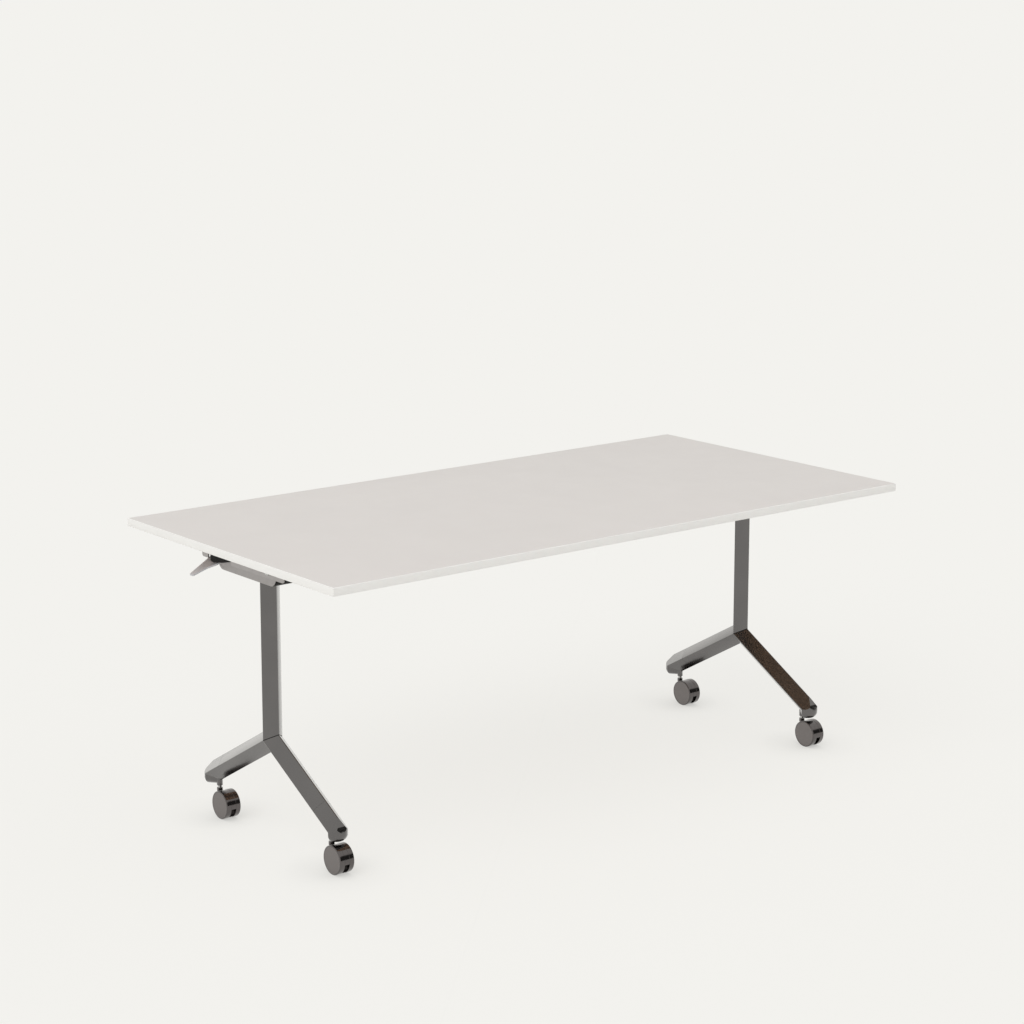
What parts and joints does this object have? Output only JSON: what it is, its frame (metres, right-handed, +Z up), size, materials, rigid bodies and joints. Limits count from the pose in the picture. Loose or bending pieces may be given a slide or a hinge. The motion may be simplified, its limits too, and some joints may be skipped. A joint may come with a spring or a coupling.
{
  "type": "flip-top desk",
  "caption": "Rectangular flip-top desk on two Y-shaped castor frames, with a tilting top held by lever latches that a rod links.",
  "frame": {"origin": "on the floor, below the centre of the table top", "axes": "+X along the top towards the right-hand end frame, +Y towards the rear edge that carries the latches, +Z up"},
  "size_m": [1.8, 0.9, 0.74],
  "materials": {
    "laminate": "light grey laminate, satin",
    "edging": "pale edge band, satin",
    "dark_metal": "black chrome, polished",
    "castor_metal": "black chrome, polished rims and satin discs",
    "light_metal": "satin aluminium, on the heads, brackets and levers",
    "steel": "bright zinc plate",
    "black_plastic": "black, fine texture",
    "rubber": "black rubber",
    "nylon": "natural nylon"
  },
  "bodies": {
    "stand": {"crossbeam": "dark_metal", "left_post": "dark_metal", "left_head": "light_metal", "left_rear_leg": "dark_metal", "left_front_leg": "dark_metal", "left_rear_foot": "dark_metal", "left_front_foot": "dark_metal", "left_hinge_pin": "steel", "left_outer_hinge_washer": "nylon", "left_inner_hinge_washer": "nylon", "left_strike_bar": "steel", "left_rest_buffer": "rubber", "right_post": "dark_metal", "right_head": "light_metal", "right_rear_leg": "dark_metal", "right_front_leg": "dark_metal", "right_rear_foot": "dark_metal", "right_front_foot": "dark_metal", "right_hinge_pin": "steel", "right_outer_hinge_washer": "nylon", "right_inner_hinge_washer": "nylon", "right_strike_bar": "steel", "right_rest_buffer": "rubber", "left_front_castor_stem": "steel", "left_rear_castor_stem": "steel", "right_front_castor_stem": "steel", "right_rear_castor_stem": "steel"},
    "top": {"table_top": "laminate", "edge_band": "edging", "left_tilt_bracket": "light_metal", "left_latch_housing": "black_plastic", "left_lever_pin": "steel", "left_rod_guide": "black_plastic", "right_tilt_bracket": "light_metal", "right_latch_housing": "black_plastic", "right_lever_pin": "steel", "right_rod_guide": "black_plastic"},
    "left_lever": {"left_release_lever": "light_metal"},
    "right_lever": {"right_release_lever": "light_metal"},
    "latch_rod": {"latch_rod": "steel"},
    "left_front_castor": {"left_front_castor_body": "castor_metal", "left_front_castor_axle": "steel"},
    "left_front_castor_left_wheel": {"left_front_castor_left_wheel": "castor_metal"},
    "left_front_castor_right_wheel": {"left_front_castor_right_wheel": "castor_metal"},
    "left_rear_castor": {"left_rear_castor_body": "castor_metal", "left_rear_castor_axle": "steel"},
    "left_rear_castor_left_wheel": {"left_rear_castor_left_wheel": "castor_metal"},
    "left_rear_castor_right_wheel": {"left_rear_castor_right_wheel": "castor_metal"},
    "right_front_castor": {"right_front_castor_body": "castor_metal", "right_front_castor_axle": "steel"},
    "right_front_castor_left_wheel": {"right_front_castor_left_wheel": "castor_metal"},
    "right_front_castor_right_wheel": {"right_front_castor_right_wheel": "castor_metal"},
    "right_rear_castor": {"right_rear_castor_body": "castor_metal", "right_rear_castor_axle": "steel"},
    "right_rear_castor_left_wheel": {"right_rear_castor_left_wheel": "castor_metal"},
    "right_rear_castor_right_wheel": {"right_rear_castor_right_wheel": "castor_metal"}
  },
  "joints": [
    {"name": "top_flip", "type": "hinge", "parent": "stand", "child": "top", "pos_m": [0, -0.045, 0.686], "axis": [1, 0, 0], "range_deg": [0, 90]},
    {"name": "left_lever_lift", "type": "hinge", "parent": "top", "child": "left_lever", "pos_m": [-0.787, 0.197, 0.69], "axis": [0, 1, 0], "range_deg": [0, 8], "stiffness_Nm_per_rad": 0.5, "springref_deg": -17.19},
    {"name": "right_lever_lift", "type": "hinge", "parent": "top", "child": "right_lever", "pos_m": [0.787, 0.197, 0.69], "axis": [0, -1, 0], "range_deg": [0, 8]},
    {"name": "rod_slide", "type": "slide", "parent": "top", "child": "latch_rod", "axis": [1, 0, 0], "range_m": [0, 0.00127]},
    {"name": "left_front_castor_swivel", "type": "hinge", "parent": "stand", "child": "left_front_castor", "pos_m": [-0.775, -0.246, 0.06], "axis": [0, 0, 1], "continuous": true},
    {"name": "left_front_castor_left_wheel_spin", "type": "hinge", "parent": "left_front_castor", "child": "left_front_castor_left_wheel", "pos_m": [-0.7885, -0.275, 0.0355], "axis": [1, 0, 0], "continuous": true},
    {"name": "left_front_castor_right_wheel_spin", "type": "hinge", "parent": "left_front_castor", "child": "left_front_castor_right_wheel", "pos_m": [-0.7615, -0.275, 0.0355], "axis": [1, 0, 0], "continuous": true},
    {"name": "left_rear_castor_swivel", "type": "hinge", "parent": "stand", "child": "left_rear_castor", "pos_m": [-0.775, 0.246, 0.06], "axis": [0, 0, 1], "continuous": true},
    {"name": "left_rear_castor_left_wheel_spin", "type": "hinge", "parent": "left_rear_castor", "child": "left_rear_castor_left_wheel", "pos_m": [-0.7885, 0.217, 0.0355], "axis": [1, 0, 0], "continuous": true},
    {"name": "left_rear_castor_right_wheel_spin", "type": "hinge", "parent": "left_rear_castor", "child": "left_rear_castor_right_wheel", "pos_m": [-0.7615, 0.217, 0.0355], "axis": [1, 0, 0], "continuous": true},
    {"name": "right_front_castor_swivel", "type": "hinge", "parent": "stand", "child": "right_front_castor", "pos_m": [0.775, -0.246, 0.06], "axis": [0, 0, 1], "continuous": true},
    {"name": "right_front_castor_left_wheel_spin", "type": "hinge", "parent": "right_front_castor", "child": "right_front_castor_left_wheel", "pos_m": [0.7615, -0.275, 0.0355], "axis": [1, 0, 0], "continuous": true},
    {"name": "right_front_castor_right_wheel_spin", "type": "hinge", "parent": "right_front_castor", "child": "right_front_castor_right_wheel", "pos_m": [0.7885, -0.275, 0.0355], "axis": [1, 0, 0], "continuous": true},
    {"name": "right_rear_castor_swivel", "type": "hinge", "parent": "stand", "child": "right_rear_castor", "pos_m": [0.775, 0.246, 0.06], "axis": [0, 0, 1], "continuous": true},
    {"name": "right_rear_castor_left_wheel_spin", "type": "hinge", "parent": "right_rear_castor", "child": "right_rear_castor_left_wheel", "pos_m": [0.7615, 0.217, 0.0355], "axis": [1, 0, 0], "continuous": true},
    {"name": "right_rear_castor_right_wheel_spin", "type": "hinge", "parent": "right_rear_castor", "child": "right_rear_castor_right_wheel", "pos_m": [0.7885, 0.217, 0.0355], "axis": [1, 0, 0], "continuous": true}
  ],
  "couplings": [
    {"joint": "right_lever_lift", "follows": "left_lever_lift", "ratio": 1},
    {"joint": "rod_slide", "follows": "left_lever_lift", "m_per_rad": 0.0089927}
  ]
}
